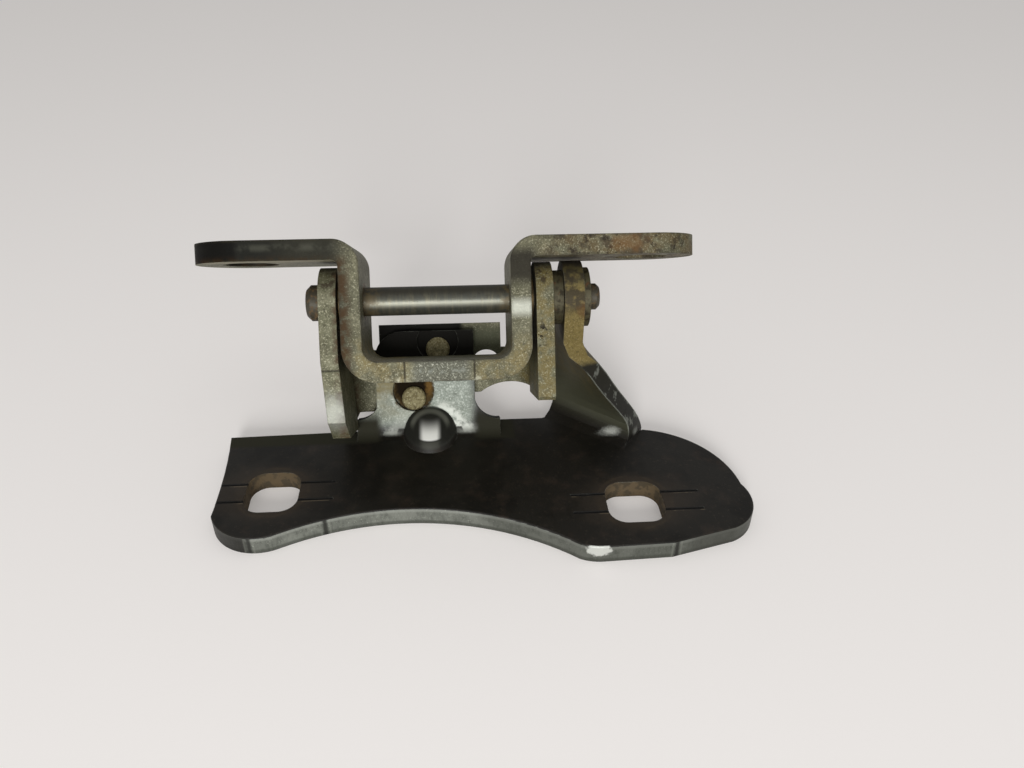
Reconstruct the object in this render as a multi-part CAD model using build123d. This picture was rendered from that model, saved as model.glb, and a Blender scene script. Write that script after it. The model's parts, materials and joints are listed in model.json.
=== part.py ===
from build123d import *
from math import cos, radians, sin, sqrt
import os

# Car door hinge: a pillar bracket with a riveted clevis, a pin, and a hat-shaped door strap.
# Frame: X runs along the pin, Y points from the plate's front edge to its fold, Z is up.
# The origin lies on the mounting face, midway between the two fixing holes.

# Sheet and pin
sheet = 5.5
clevis_sheet = 4.8
pin_r = 4.0
bush_clearance = 0.05
edge_roll = 0.6
through = 1.0

# Door strap, in the leaning frame: its width runs out of the tongue's face
strap_width = 28.0
strap_near = 12.3
strap_far = strap_near - strap_width
flange_under = 11.0
strap_web_in = -16.35
strap_wall_left = -22.9
strap_wall_right = 17.2
strap_tip_left = -68.4
strap_tip_right = 70.0
strap_tip_flat = 0.1
strap_tip_r = strap_width / 2 - strap_tip_flat
top_bend = 1.5
web_bend = 4.0
strap_hole_inset = 14.6
strap_hole_r = 7.5

# Pin axis, and the frame of the tongue and clevis that leans back from the plate
lean_deg = 60.0
fold_y = 28.0
lean_cos, lean_sin = cos(radians(lean_deg)), sin(radians(lean_deg))
pin_above_plate = 43.0
stop_gap = 0.5
tongue_face = strap_far - stop_gap
pin_behind_fold = (pin_above_plate * lean_cos + tongue_face) / lean_sin
pin_y = fold_y + pin_behind_fold
pin_z = sheet + pin_above_plate
hinge_frame = Location((0, pin_y, pin_z), (lean_deg, 0, 0))

# Outline of the plate, x and y from the middle of the fixing holes
plate_left = -65.0
plate_back_left = (-66.5, 30.2)
plate_left_bow = 12.0
plate_left_corner = (-60.3, -10.2)
plate_left_start = -3.7
waist_left = (-45.8, -11.3)
waist_top = (-12.0, -4.1)
waist_right = (33.0, -20.0)
front_bulge = (35.5, -20.9)
front_flat = (38.5, -21.3)
front_bend = (57.5, -20.7)
nose_front = (75.0, -16.2)
nose_tip = (82.0, -9.5)
nose_side = (81.7, 1.0)
nose_back = (76.0, 16.5)
nose_end = (58.5, 27.3)
ear_root_start = (28.0, 34.9)
ear_root_mid = (33.0, 37.4)

# Fixing holes of the plate
fixing_pitch = 100.0
fixing_stagger = 9.6
fixing_depth = 16.0
fixing_corner = 5.0
left_fixing = (-fixing_pitch / 2, fixing_stagger / 2, 14.8)
right_fixing = (fixing_pitch / 2, -fixing_stagger / 2, 15.8)
scribe_gap = 7.0
scribe_width = 0.7
scribe_depth = 0.35
left_scribe_ends = (-70.0, -33.0)
right_scribe_ends = (32.5, 68.5)

# Tongue, in the leaning frame: x along the pin, y up the tongue, z out of its face
tongue_left = -22.4
tongue_right = 7.3
tongue_top = -8.8
tongue_corner = 8.0
tongue_root = -43.5
left_flare = (6.0, -35.2, 3.4)
right_flare = (7.5, -35.9, 6.0)
fold_inner = 4.0
fold_reach = 4.4
back_edge_left = 31.4

# Gusset bead pressed into the fold
bead_x = -6.5
bead_r = 9.2
bead_proud = 4.2
bead_reach = 1.2
bead_rise = 1.0
dent_drop = 4.1
dent_wall = 3.3
dent_shift = 3.0

# Clevis
web_face = tongue_face - sheet
web_top = -6.8
web_bottom = -33.3
clevis_bend = 4.5
left_ear_in = -29.6
right_ear_in = 24.2
left_lobe_r = 9.6
right_lobe_r = 10.0
left_ear_end = -37.6
right_ear_end = -28.2
ear_back_top = 14.5
ear_end_lift = 3.0
left_ear_cut = 5.0
right_ear_cut = 1.0
channel_top = 15.0
channel_rim = 14.0
joggle_start = -16.0
joggle = 1.7
joggle_lift = 0.7
arch_foot = 0.5
arch_left = (7.5, -29.8)
arch_crown = (19.0, -25.2)
arch_right = (25.7, -27.0)
web_tab_left = -21.4
web_tab_right = 15.8
tooling_hole = (11.2, -19.6, 4.5)

# Outer ear, bent up from the plate
spacer_thick = 3.0
outer_ear_in = right_ear_in + clevis_sheet + spacer_thick
outer_lobe_r = 10.2
ear_foot_x = 59.0
ear_foot_y = fold_y + 0.4
ear_foot_length = 27.0
ear_foot_turn = 56.0
ear_foot_inset = 4.0
ear_root_r = 7.0
ear_flare_height = 34.0
ear_back_relief = 0.8
ear_steps = 12
# Rails of its outer face: x, and y behind the fold, at four heights above the plate
ear_heights = (0.0, 8.0, 18.0, 28.4)
ear_front_rail = ((58.4, 0.0), (54.9, -0.8), (48.2, -2.3), (40.7, -3.6))
ear_back_rail = ((36.4, 16.6), (36.3, 18.6), (36.3, 19.2), (36.7, 16.0))

# Bushes, washers, pin ends and rivets
bush_wall = 1.2
bush_flange = 1.0
bush_flange_r = 7.0
spacer_r = 7.6
end_washer_thick = 2.0
end_washer_r = 8.3
head_r = 5.0
head_thick = 4.2
head_chamfer = 1.2
spigot_r = 3.0
peen_r = 3.7
peen_thick = 3.3
peen_chamfer = 0.9
rivet_r = 3.0
rivet_head_r = 3.6
rivet_head_thick = 1.4
rivet_recess_r = 6.2
rivet_recess_lift = 2.4
rivet_recess = 1.6
rivet_tail_r = 5.0
rivet_tail_thick = 2.4
rivet_chamfer = 0.5
rivet_spots = {"lower": (-11.2, -29.1), "upper": (-3.5, -14.4)}


def box(x0, x1, y0, y1, z0, z1):
    """Box between two corners."""
    return Pos(x0, y0, z0) * Box(x1 - x0, y1 - y0, z1 - z0, align=(Align.MIN,) * 3)


def rod(radius, x0, x1):
    """Round bar along X, centred on the pin axis of the leaning frame."""
    return Plane.YZ.offset(x0) * Cylinder(radius, x1 - x0, align=(Align.CENTER, Align.CENTER, Align.MIN))


def disc(x, y, radius, z0, z1):
    """Round bar along the leaning frame's Z."""
    return Pos(x, y, z0) * Cylinder(radius, z1 - z0, align=(Align.CENTER, Align.CENTER, Align.MIN))


def plate_outline():
    """Outline of the mounting plate, seen from above, with its waisted front edge."""
    foot_front, foot_back = foot_line(ear_foot_inset)
    left_start = (plate_left, plate_left_start)
    step_left, step_right = (tongue_left + 2, back_edge_left), (tongue_right + 2, ear_root_start[1])
    return [
        Line(plate_back_left, step_left),
        Line(step_left, step_right),
        Line(step_right, ear_root_start),
        ThreePointArc(ear_root_start, ear_root_mid, foot_back),
        Line(foot_back, foot_front),
        Line(foot_front, nose_end),
        ThreePointArc(nose_end, nose_back, nose_side),
        ThreePointArc(nose_side, nose_tip, nose_front),
        Line(nose_front, front_bend),
        Line(front_bend, front_flat),
        ThreePointArc(front_flat, front_bulge, waist_right),
        ThreePointArc(waist_right, waist_top, waist_left),
        ThreePointArc(waist_left, plate_left_corner, left_start),
        ThreePointArc(left_start, (plate_left, plate_left_bow), plate_back_left),
    ]


def foot_line(inset):
    """Back face of the outer ear at plate level, from its front end to its back end."""
    x, y, length = ear_foot_x - inset * 0.3, ear_foot_y, ear_foot_length - inset * 0.5
    along = (-sin(radians(ear_foot_turn)), cos(radians(ear_foot_turn)))
    across = (-along[1] * inset, along[0] * inset)
    start = (x + across[0], y + across[1])
    return [start, (start[0] + along[0] * length, start[1] + along[1] * length)]


def fixing_hole(x, y, width):
    """Rounded square hole through the plate."""
    shape = RectangleRounded(width, fixing_depth, fixing_corner)
    return extrude(Pos(x, y, -through) * shape, sheet + 2 * through)


def scribes(x, y, width, x_left, x_right):
    """Two pairs of setting-out grooves, one pair on each side of a fixing hole."""
    cuts = []
    for side in (-1, 1):
        for x0, x1 in ((x_left, x - width / 2), (x + width / 2, x_right)):
            low = y + side * scribe_gap / 2 - scribe_width / 2
            cuts.append(box(x0, x1, low, low + scribe_width, sheet - scribe_depth, sheet + through))
    return cuts


def tongue():
    """Leaning tongue with a flared root and a rounded top corner, in the leaning frame."""
    left_out, left_y, left_rise = left_flare
    right_out, right_y, right_rise = right_flare
    far_left, far_right = tongue_left - left_out, tongue_right + right_out
    corner = tongue_corner * (1 - sqrt(0.5))
    left_bend = (tongue_left - left_out * 0.4, left_y + left_rise * 0.3)
    right_bend = (tongue_right + right_out * 0.28, right_y + right_rise * 0.32)
    outline = [
        Line((far_left, tongue_root), (far_right, tongue_root)),
        Line((far_right, tongue_root), (far_right, right_y)),
        ThreePointArc((far_right, right_y), right_bend, (tongue_right, right_y + right_rise)),
        Line((tongue_right, right_y + right_rise), (tongue_right, tongue_top)),
        Line((tongue_right, tongue_top), (tongue_left + tongue_corner, tongue_top)),
        ThreePointArc((tongue_left + tongue_corner, tongue_top), (tongue_left + corner, tongue_top - corner),
                      (tongue_left, tongue_top - tongue_corner)),
        Line((tongue_left, tongue_top - tongue_corner), (tongue_left, left_y + left_rise)),
        ThreePointArc((tongue_left, left_y + left_rise), left_bend, (far_left, left_y)),
        Line((far_left, left_y), (far_left, tongue_root)),
    ]
    return extrude(Pos(0, 0, web_face) * make_face(outline), sheet)


def fold_block():
    """Material of the fold, with its inner and outer radius, over the tongue's root."""
    reach_y, reach_z = fold_reach * lean_cos, fold_reach * lean_sin
    back_y, back_z = fold_y + sheet * lean_sin, sheet - sheet * lean_cos
    corner_y = fold_y + sheet * (1 - lean_cos) / lean_sin
    points = [
        (fold_y - fold_reach, sheet), (fold_y, sheet), (fold_y + reach_y, sheet + reach_z),
        (back_y + reach_y, back_z + reach_z), (corner_y, 0), (fold_y - fold_reach, 0)]
    x0, x1 = tongue_left - left_flare[0], tongue_right + right_flare[0]
    block = extrude(Plane.YZ.offset(x0) * make_face(Polyline(points + points[:1])), x1 - x0)
    inner = block.edges().filter_by(Axis.X).sort_by_distance((0, fold_y, sheet))[0]
    block = fillet(inner, fold_inner)
    outer = block.edges().filter_by(Axis.X).sort_by_distance((0, corner_y, 0))[0]
    return fillet(outer, fold_inner + sheet - 1)


def ear_rails():
    """Front and back edge of the outer ear's outer face, from the plate up to the straight part."""
    ear_out, top = outer_ear_in + sheet, sheet + ear_flare_height
    front_top, back_top = pin_y - outer_lobe_r, pin_y + outer_lobe_r - ear_back_relief
    rails = []
    for rail, end_y, start in (
            (ear_front_rail, front_top, (-0.2, -0.1, 1)), (ear_back_rail, back_top, (0, 0.3, 1))):
        points = [(x, fold_y + y, sheet + z) for (x, y), z in zip(rail, ear_heights)]
        rails.append(Spline(*points, (ear_out, end_y, top), tangents=[start, (0, 0, 1)]))
    return rails


def ear_section(front, back, thick):
    """Slice of the ear's wall between a point of the front rail and one of the back rail."""
    along = Vector(back.X - front.X, back.Y - front.Y, 0).normalized()
    inward = Vector(-along.Y, along.X, 0) * thick
    return make_face(Polyline(front, back, back + inward, front + inward, front))


def outer_ear():
    """Ear on the right: a flared wall that twists up from the plate to carry the pin's end."""
    ear_out, top = outer_ear_in + sheet, sheet + ear_flare_height
    front_y, back_y = pin_y - outer_lobe_r, pin_y + outer_lobe_r - ear_back_relief
    front, back = ear_rails()
    slices = []
    for inset, z in ((ear_foot_inset, 0), (0.6, 1.6)):
        start, end = foot_line(inset)
        slices.append(ear_section(Vector(*start, z), Vector(*end, z), sheet + ear_root_r))
    for step in range(ear_steps + 1):
        t = (step / ear_steps) ** 1.5
        short = max(0, ear_root_r - (front @ t).Z + sheet)
        root = ear_root_r - sqrt(ear_root_r ** 2 - short ** 2)
        slices.append(ear_section(front @ t, back @ t, sheet + root))
    wall = loft(slices, ruled=True)
    upper = box(outer_ear_in, ear_out, front_y, back_y, top, pin_z)
    lobe = Location((0, pin_y, pin_z)) * rod(outer_lobe_r, outer_ear_in, ear_out)
    return wall + upper + lobe


def capsule(start, end, radius):
    """Round bar with ball ends between two points."""
    spine = Line(start, end)
    bar = sweep((Plane(origin=start, z_dir=spine % 0)) * Circle(radius), spine)
    return bar + Pos(*start) * Sphere(radius) + Pos(*end) * Sphere(radius)


def gusset_bead():
    """Rounded bead that stiffens the fold, kept in front of the tongue's back."""
    sink = bead_r - bead_proud
    start = (bead_x, fold_y - bead_reach, sheet - sink)
    head_y, head_z = fold_y + bead_rise * lean_cos, sheet + bead_rise * lean_sin
    end = (bead_x, head_y + sink * lean_sin, head_z - sink * lean_cos)
    x0, x1 = bead_x - 2 * bead_r, bead_x + 2 * bead_r
    above = box(x0, x1, 0, 2 * fold_y, 0, pin_z)
    behind = hinge_frame * box(x0, x1, 2 * tongue_root, 0, 2 * tongue_root, web_face)
    return (capsule(start, end, bead_r) & above) - behind


def gusset_dent():
    """Hollow pressed into the back of the fold, opposite the bead."""
    sink = bead_r - bead_proud
    start = (bead_x, fold_y - bead_reach + dent_shift, sheet - sink - dent_drop)
    head_y, head_z = fold_y + bead_rise * lean_cos, sheet + bead_rise * lean_sin
    end = (bead_x, head_y + sink * lean_sin + dent_drop, head_z - sink * lean_cos - dent_drop)
    return capsule(start, end, bead_r - dent_wall)


def base_bracket():
    """Pillar bracket: plate, tongue, gusset bead and outer ear pressed from one sheet."""
    plate = extrude(make_face(plate_outline()), sheet)
    rims = plate.faces().sort_by(Axis.Z)[-1].edges()
    body = fillet(rims, edge_roll) + fold_block() + hinge_frame * tongue()
    body = body + gusset_bead() - gusset_dent() + outer_ear()
    for x, y, width in (left_fixing, right_fixing):
        body = body - fixing_hole(x, y, width)
    for cut in scribes(*left_fixing, *left_scribe_ends) + scribes(*right_fixing, *right_scribe_ends):
        body = body - cut
    bore = rod(pin_r, outer_ear_in - through, outer_ear_in + sheet + through)
    body = body - Location((0, pin_y, pin_z)) * bore
    for x, y in rivet_spots.values():
        body = body - hinge_frame * disc(x, y, rivet_r, web_face - through, tongue_face + through)
        y = y + rivet_recess_lift
        recess = disc(x, y, rivet_recess_r, tongue_face - rivet_recess, tongue_face + through)
        body = body - hinge_frame * recess
    return body


def channel():
    """U section of the clevis, web and both ears, as one long bent strip."""
    left, right = left_ear_in - clevis_sheet, right_ear_in + clevis_sheet
    back, rim = web_face - clevis_sheet, channel_rim
    points = [(left, rim), (left, back), (right, back), (right, rim), (right_ear_in, rim),
              (right_ear_in, web_face), (left_ear_in, web_face), (left_ear_in, rim), (left, rim)]
    section = make_face(Polyline(points))
    outer = [v for v in section.vertices() if abs(v.Y - back) < 0.01]
    section = fillet(outer, clevis_bend + clevis_sheet)
    inner = [v for v in section.vertices() if abs(v.Y - web_face) < 0.01]
    section = fillet(inner, clevis_bend)
    length = channel_top - min(left_ear_end, right_ear_end) + through
    return Pos(0, channel_top, 0) * (Rot(90, 0, 0) * extrude(section, length))


def side_keep(lobe_r, end_y, corner, x0, x1):
    """What stays of one half of the clevis, seen along the pin: lobe, arm and web."""
    back = web_face - clevis_sheet
    low = max(end_y, web_bottom)
    points = [
        (0, lobe_r), (end_y + corner, lobe_r), (end_y, lobe_r - corner * 1.2),
        (end_y, web_face + ear_end_lift), (low, web_face + through), (low, back - through),
        (-ear_back_top, back - through), (-ear_back_top, web_face + through),
        (-lobe_r * 0.85, -lobe_r * 0.53),
    ]
    arm = extrude(Plane.YZ.offset(x0) * make_face(Polyline(points + points[:1])), x1 - x0)
    return arm + rod(lobe_r, x0, x1)


def ear_wedge(x, z0, z1):
    """Thin wedge on one face of the left ear, by which its lower part leans inwards."""
    outline = Polyline((x, joggle_start), (x, left_ear_end), (x + joggle, left_ear_end), (x, joggle_start))
    return extrude(Pos(0, 0, z0) * make_face(outline), z1 - z0)


def arch_cut():
    """Arched opening at the web's lower right."""
    left_low = (arch_foot, web_bottom - through)
    right_low = (arch_right[0], web_bottom - through)
    return make_face([
        Line(left_low, arch_left), ThreePointArc(arch_left, arch_crown, arch_right),
        Line(arch_right, right_low), Line(right_low, left_low)])


def clevis_bracket():
    """U-shaped clevis: web behind the tongue, two ears towards the strap."""
    left, right, back = left_ear_in - clevis_sheet, right_ear_in + clevis_sheet, web_face - clevis_sheet
    keep = side_keep(left_lobe_r, left_ear_end, left_ear_cut, left - through, 0)
    keep = keep + side_keep(right_lobe_r, right_ear_end, right_ear_cut, 0, right + through)
    tab = box(web_tab_left, web_tab_right, -ear_back_top - through, web_top, back, web_face)
    body = (channel() & keep) + tab
    body = body - ear_wedge(left, back - through, left_lobe_r + through)
    body = body + (ear_wedge(left_ear_in, tongue_face + joggle_lift, left_lobe_r) & keep)
    body = body - extrude(Pos(0, 0, back - through) * arch_cut(), clevis_sheet + clevis_bend + through)
    body = body - rod(pin_r, left - through, right + through)
    x, y, radius = tooling_hole
    body = body - disc(x, y, radius, back - through, web_face + through)
    for x, y in rivet_spots.values():
        body = body - disc(x, y, rivet_r, back - through, web_face + through)
    return hinge_frame * body


def strap_profile():
    """Hat-shaped outline of the strap in the (x, y) plane of the leaning frame."""
    top = flange_under + sheet
    left, right = strap_wall_left - sheet, strap_wall_right + sheet
    low = strap_web_in - sheet
    return Polyline([
        (strap_tip_left, flange_under), (left, flange_under), (left, low), (right, low),
        (right, flange_under), (strap_tip_right, flange_under), (strap_tip_right, top),
        (strap_wall_right, top), (strap_wall_right, strap_web_in), (strap_wall_left, strap_web_in),
        (strap_wall_left, top), (strap_tip_left, top), (strap_tip_left, flange_under)])


def door_strap():
    """Door-side strap: two drilled flanges, two walls with the bush seats, and a web."""
    body = extrude(Pos(0, 0, strap_far) * make_face(strap_profile()), strap_width)
    left, right = strap_wall_left - sheet, strap_wall_right + sheet
    low = strap_web_in - sheet
    corners = [
        (left, flange_under, top_bend), (right, flange_under, top_bend),
        (strap_wall_left, flange_under + sheet, top_bend + sheet),
        (strap_wall_right, flange_under + sheet, top_bend + sheet),
        (strap_wall_left, strap_web_in, web_bend), (strap_wall_right, strap_web_in, web_bend),
        (left, low, web_bend + sheet), (right, low, web_bend + sheet),
    ]
    for x, y, radius in corners:
        edge = [e for e in body.edges().filter_by(Axis.Z)
                if abs(e.center().X - x) < 0.01 and abs(e.center().Y - y) < 0.01]
        body = fillet(edge, radius)
    length = strap_tip_right - strap_tip_left
    plan = Plane.XZ.offset(-low + through) * RectangleRounded(length, strap_width, strap_tip_r)
    mid_z = (strap_near + strap_far) / 2
    height = flange_under + sheet - low + 2 * through
    body = body & Pos((strap_tip_left + strap_tip_right) / 2, 0, mid_z) * extrude(plan, -height)
    for hole_x in (strap_tip_left + strap_hole_inset, strap_tip_right - strap_hole_inset):
        bore = Cylinder(strap_hole_r, sheet + 2 * through, align=(Align.CENTER, Align.CENTER, Align.MIN))
        body = body - Pos(hole_x, flange_under - through, mid_z) * (Rot(-90, 0, 0) * bore)
    body = body - rod(pin_r + bush_clearance + bush_wall, left - through, right + through)
    return hinge_frame * body


def bush(wall_in, side):
    """Flanged bearing bush pressed into one strap wall, flange towards the ear."""
    outer = wall_in + side * sheet
    flange_end = outer + side * bush_flange
    bore = pin_r + bush_clearance
    span = sorted((wall_in, flange_end))
    body = rod(bore + bush_wall, *sorted((wall_in, outer)))
    body = body + rod(bush_flange_r, *sorted((outer, flange_end)))
    return hinge_frame * (body - rod(bore, span[0] - through, span[1] + through))


def washer(x, radius, thick, bore):
    """Plain washer on the pin."""
    return hinge_frame * (rod(radius, x, x + thick) - rod(bore, x - through, x + thick + through))


def hinge_pin():
    """Headed pin, its far end peened over the washer."""
    head_x = left_ear_in - clevis_sheet
    shoulder_x = outer_ear_in + sheet
    end_x = shoulder_x + end_washer_thick
    head = rod(head_r, head_x - head_thick, head_x)
    head = chamfer(head.edges().filter_by(GeomType.CIRCLE).sort_by(Axis.X)[0], head_chamfer)
    peen = rod(peen_r, end_x, end_x + peen_thick)
    peen = chamfer(peen.edges().filter_by(GeomType.CIRCLE).sort_by(Axis.X)[-1], peen_chamfer)
    shank = rod(pin_r, head_x, shoulder_x) + rod(spigot_r, shoulder_x, end_x)
    return hinge_frame * (head + shank + peen)


def rivet(x, y):
    """Rivet through tongue and web, its head sunk in the recess of the tongue."""
    seat = tongue_face - rivet_recess
    back = web_face - clevis_sheet
    head = disc(x, y, rivet_head_r, seat, seat + rivet_head_thick)
    head = chamfer(head.edges().filter_by(GeomType.CIRCLE).sort_by(Axis.Z)[-1], rivet_chamfer)
    tail = disc(x, y, rivet_tail_r, back - rivet_tail_thick, back)
    return hinge_frame * (head + disc(x, y, rivet_r, back, seat) + tail)


def build_parts():
    """All sub-parts by node name."""
    parts = {
        "base_bracket": base_bracket(),
        "clevis_bracket": clevis_bracket(),
        "door_strap": door_strap(),
        "bush_left": bush(strap_wall_left, -1),
        "bush_right": bush(strap_wall_right, 1),
        "hinge_pin": hinge_pin(),
        "spacer_washer": washer(right_ear_in + clevis_sheet, spacer_r, spacer_thick, pin_r),
        "end_washer": washer(outer_ear_in + sheet, end_washer_r, end_washer_thick, spigot_r),
    }
    for name, (x, y) in rivet_spots.items():
        parts["rivet_" + name] = rivet(x, y)
    return parts


os.makedirs("parts", exist_ok=True)
for node, solid in build_parts().items():
    export_step(solid, f"parts/{node}.step")
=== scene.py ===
import json
import math

import bpy
from mathutils import Matrix, Vector

bl_info = {
    "name": "Car door hinge",
    "version": (1, 0, 0),
    "blender": (4, 5, 0),
    "location": "View3D > Sidebar > Hinge",
    "description": "Finishes and stage for a pressed-steel car door hinge",
    "category": "Object",
}

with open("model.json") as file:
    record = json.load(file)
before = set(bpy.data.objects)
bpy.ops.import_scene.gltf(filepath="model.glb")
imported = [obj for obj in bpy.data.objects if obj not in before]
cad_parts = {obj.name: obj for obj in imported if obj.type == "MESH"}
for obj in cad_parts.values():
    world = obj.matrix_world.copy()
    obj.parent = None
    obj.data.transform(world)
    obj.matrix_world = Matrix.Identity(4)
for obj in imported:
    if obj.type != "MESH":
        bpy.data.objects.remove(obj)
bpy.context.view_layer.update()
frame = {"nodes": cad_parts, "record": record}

# Axes of the frame. In the leaning frame of the tongue and the open strap, X runs along the pin,
# Y up the tongue and Z out of its face, all measured from the pin.
X, Y, Z = range(3)
LEAN = math.radians(60)
PIN = frame["record"]["behaviour"]["joints"][0]["pos_m"]

# Directions: up and forward from the plate, out of the tongue's face and down along it
UP = (0, 0, 1)
FORWARD = (0, -1, 0)
OUTWARD = (0, -math.sin(LEAN), math.cos(LEAN))
DOWNWARD = (0, -math.cos(LEAN), -math.sin(LEAN))
EAR_EDGE_OUTWARD = (0.4, -0.9, 0.15)

# A mask that covers a whole piece, and a scale that leaves the height out
EVERYWHERE = 1.0
FLAT = (1, 1, 0)

# Places on the pieces, in millimetres
PLATE_TOP = 5.5
FIXING_HOLES = ((-50, 4.8, 14.8), (50, -4.8, 15.8))
GROOVES = ((4.8, -70, -33), (-4.8, 32.5, 68.5))
GROOVE_OFFSET = 3.5
RIM_STEPS = (-53.6, -34.4, 58.4)
FRONT_CORNER = (37.4, -21.2, 4.2)
BEAD = (-6.5, 27, 3.5)
BEAD_FORM = (1, 0.9, 1)
BEAD_CROWN = (-6.5, 24.9, 10.0)
# Spots of painted glints by the bead: centre, inner and outer radius, width
GLINTS_BY_BEAD = (
    ((-18.1, 28.0, 6.4), 0.2, 2.2, 0.55),
    ((4.6, 28.6, 7.0), 0.4, 2.6, 0.5),
    ((-2.6, 32.1, 12.6), 0.3, 2.0, 0.8),
)
RECESSES = ((-11.2, -26.7), (-3.5, -12.0))
RECESS_FLOOR = -18
PEENED_END = (37.5, 25.0, 49.5)
EAR_FOOT_BEND = (50.6, 25.2, 6.6)
LEFT_EAR_FOOT = (-31.2, -30.0, 9.6)
FLANGE_RUST = (49, 14, 12)
WEB_MARKS = (-11.8, 6.9)

# Stage, in metres: size of the floor and the point that the lights face
FLOOR_SIZE = 6
LIT_POINT = (0, 0.03, 0.03)

# Camera as solved from the photograph: sensor in millimetres, place in metres and its three axes
SENSOR_WIDTH = 36
CAMERA_PLACE = (0.00262, -0.16904, 0.16088)
CAMERA_RIGHT = (0.9975, -0.0704, 0.0114)
CAMERA_UP = (0.0309, 0.5705, 0.8207)
CAMERA_BACK = (-0.0643, -0.8183, 0.5712)


def linear(code):
    """Linear colour of an sRGB hex value."""
    values = [int(code[i:i + 2], 16) / 255 for i in (1, 3, 5)]
    return [v / 12.92 if v <= 0.04045 else ((v + 0.055) / 1.055) ** 2.4 for v in values] + [1.0]


def add(tree, kind, inputs=None, **settings):
    """Adds a node. Settings are its properties, inputs its values or the sockets linked to them."""
    node = tree.nodes.new(kind)
    for name, value in settings.items():
        setattr(node, name, value)
    for key, value in (inputs or {}).items():
        if isinstance(value, bpy.types.NodeSocket):
            tree.links.new(value, node.inputs[key])
        else:
            node.inputs[key].default_value = value
    return node


class Finish:
    """A surface built up in layers of colour, roughness, metal and height, laid out in millimetres.

    A leaning finish is laid out in the leaning frame, and its patterns still in the piece's own.
    """

    def __init__(self, name, colour, roughness, metallic, leaning=False):
        self.material = bpy.data.materials.new(name)
        self.material.use_nodes = True
        self.tree = self.material.node_tree
        self.tree.nodes.clear()
        source = add(self.tree, "ShaderNodeTexCoord")
        # The piece's own place in millimetres, and the same place in the leaning frame
        scale = add(self.tree, "ShaderNodeVectorMath", {0: source.outputs["Object"], 3: 1000.0},
                    operation="SCALE")
        self.place = scale.outputs[0]
        pin_mm = [value * 1000 for value in PIN]
        lean = add(self.tree, "ShaderNodeMapping",
                   {"Vector": self.place, "Location": pin_mm, "Rotation": (LEAN, 0, 0)},
                   vector_type="TEXTURE")
        self.leaning = lean.outputs[0]
        self.layout = self.leaning if leaning else self.place
        # The piece's own normal keeps the layers in place when a joint moves
        self.facing = source.outputs["Normal"]
        self.colour = linear(colour)
        self.roughness = roughness
        self.metallic = metallic
        self.specular = 0.4
        self.height = 0.0

    def maths(self, operation, first, second=0.0, third=0.0):
        """One sum, product, difference or comparison of masks or numbers."""
        return add(self.tree, "ShaderNodeMath", {0: first, 1: second, 2: third},
                   operation=operation).outputs[0]

    def both(self, *masks):
        """Where all masks meet."""
        result = masks[0]
        for mask in masks[1:]:
            result = self.maths("MULTIPLY", result, mask)
        return result

    def either(self, first, second):
        """Where one of two masks is, whichever is stronger."""
        return self.maths("MAXIMUM", first, second)

    def outside(self, mask):
        """Everywhere but on the mask."""
        return self.maths("SUBTRACT", 1.0, mask)

    def ramp(self, value, start, end):
        """Soft step from 0 at start to 1 at end."""
        return add(self.tree, "ShaderNodeMapRange", {"Value": value, "From Min": start, "From Max": end},
                   interpolation_type="SMOOTHSTEP").outputs[0]

    def cloud(self, size, start, end, seed=0.0, detail=3.0, stretch=(1, 1, 1)):
        """Patches about as wide as size, with soft borders, cut at start and end."""
        moved = add(self.tree, "ShaderNodeMapping",
                    {"Vector": self.place, "Location": (seed * 37, seed * 11, seed), "Scale": stretch})
        noise = add(self.tree, "ShaderNodeTexNoise",
                    {"Vector": moved.outputs[0], "Scale": 1 / size, "Detail": detail, "Roughness": 0.6})
        return self.ramp(noise.outputs[0], start, end)

    def along(self, axis, start, end, layout=None):
        """Soft step along one axis."""
        parts = add(self.tree, "ShaderNodeSeparateXYZ", {0: layout or self.layout})
        return self.ramp(parts.outputs[axis], start, end)

    def between(self, axis, start, end, soft):
        """Soft band along one axis."""
        rise = self.along(axis, start - soft, start + soft)
        fall = self.along(axis, end + soft, end - soft)
        return self.both(rise, fall)

    def turned(self, direction, start, end):
        """Where the surface faces a direction, from start to end of the cosine."""
        facing = add(self.tree, "ShaderNodeVectorMath", {0: self.facing, 1: direction},
                     operation="DOT_PRODUCT")
        return self.ramp(facing.outputs["Value"], start, end)

    def near(self, centre, start, end, scale=(1, 1, 1), layout=None, rough=0.0):
        """Soft spot round a point, full inside start and gone at end."""
        moved = add(self.tree, "ShaderNodeVectorMath", {0: layout or self.layout, 1: centre},
                    operation="SUBTRACT")
        scaled = add(self.tree, "ShaderNodeVectorMath", {0: moved.outputs[0], 1: scale},
                     operation="MULTIPLY")
        length = add(self.tree, "ShaderNodeVectorMath", {0: scaled.outputs[0]},
                     operation="LENGTH").outputs["Value"]
        if rough:
            noise = add(self.tree, "ShaderNodeTexNoise",
                        {"Vector": self.place, "Scale": 1 / rough, "Detail": 3.0})
            wobble = self.maths("MULTIPLY_ADD", noise.outputs[0], 2 * rough, -rough)
            length = self.maths("ADD", length, wobble)
        return self.ramp(length, end, start)

    def edges(self, radius, start=0.02, end=0.25):
        """Edges of the piece, found where the rounded normal leaves the flat one."""
        rounded = add(self.tree, "ShaderNodeBevel", {"Radius": radius / 1000}, samples=6).outputs[0]
        flat = add(self.tree, "ShaderNodeNewGeometry").outputs["Normal"]
        same = add(self.tree, "ShaderNodeVectorMath", {0: rounded, 1: flat}, operation="DOT_PRODUCT")
        return self.ramp(same.outputs["Value"], 1 - start, 1 - end)

    def corners(self, distance):
        """Inner corners and gaps, where they are closed in: painted shade and dirt."""
        light = add(self.tree, "ShaderNodeAmbientOcclusion", {"Distance": distance / 1000}, samples=8)
        return self.ramp(light.outputs["AO"], 0.55, 0.15)

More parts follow.
